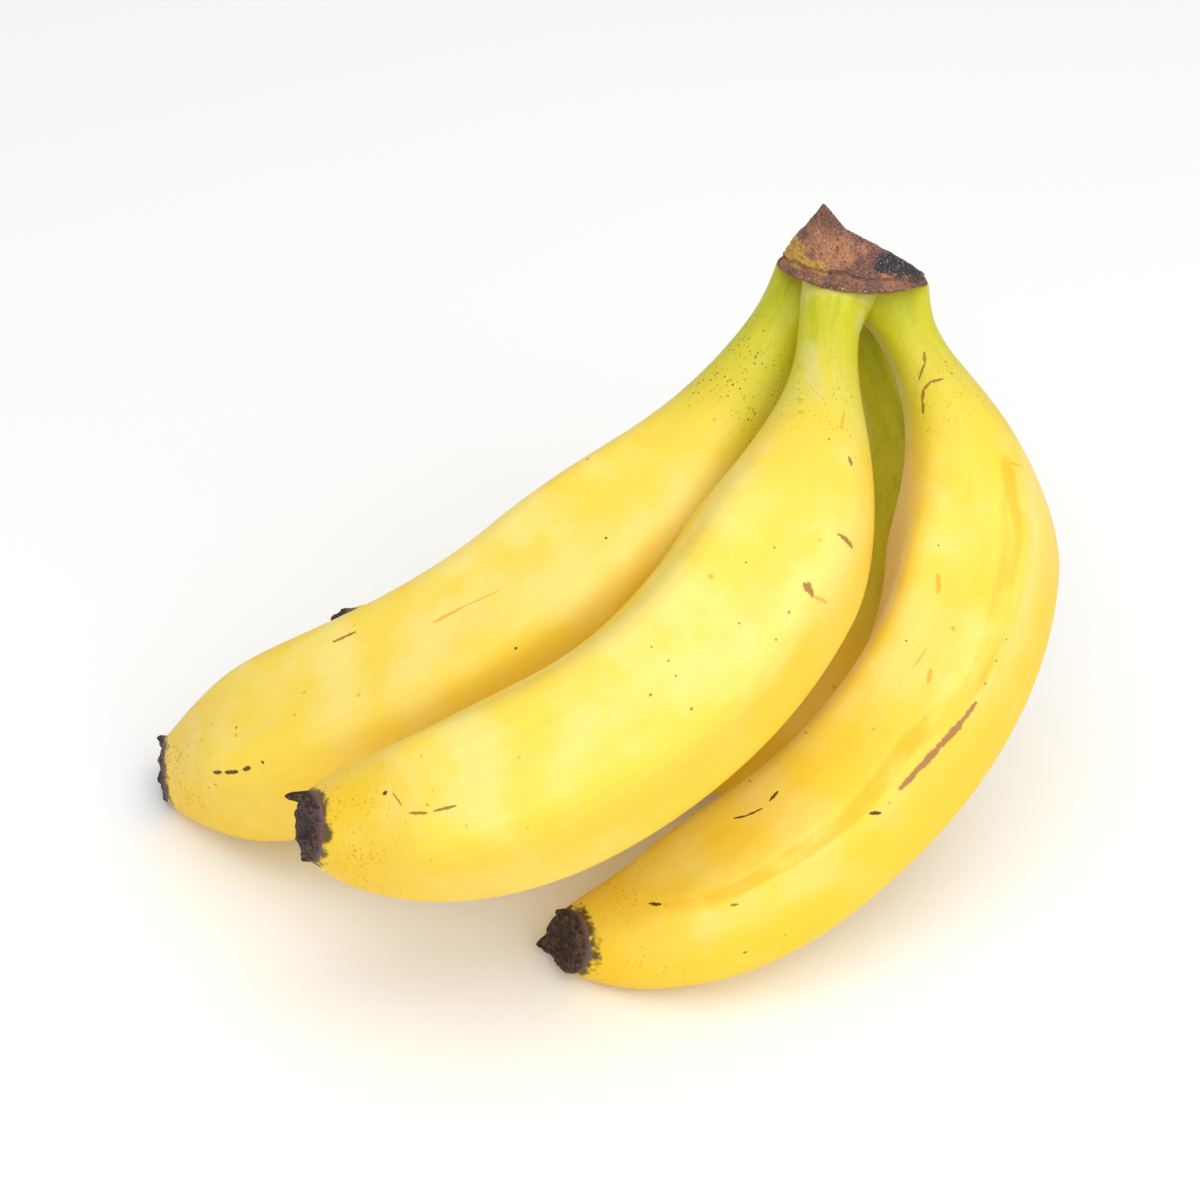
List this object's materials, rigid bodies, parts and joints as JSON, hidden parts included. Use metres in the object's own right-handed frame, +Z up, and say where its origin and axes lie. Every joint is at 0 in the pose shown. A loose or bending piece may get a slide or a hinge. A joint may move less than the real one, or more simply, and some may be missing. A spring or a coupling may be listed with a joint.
{
  "type": "bunch of bananas",
  "caption": "Hand of ripe curved bananas fanned out from one cut brown crown, with green-tinged necks and dark dried blossom ends, lying on its side.",
  "frame": {"origin": "middle of the footprint, on the surface that the hand lies on", "axes": "+Z up; +X towards the crown side, the tips point to -X; -Y is the side that the outer row faces"},
  "size_m": [0.1871, 0.1319, 0.1279],
  "materials": {
    "peel": "waxy ripe yellow peel, lime green towards the neck, with brown flecks",
    "crown": "dry cut brown tissue with pale specks of dried sap",
    "blossom": "dry, nearly black and rough"
  },
  "bodies": {
    "root": {"banana_left": "peel", "banana_middle": "peel", "banana_right": "peel", "banana_inner": "peel", "crown": "crown", "blossom_left": "blossom", "blossom_middle": "blossom", "blossom_right": "blossom", "blossom_inner": "blossom"}
  },
  "joints": []
}
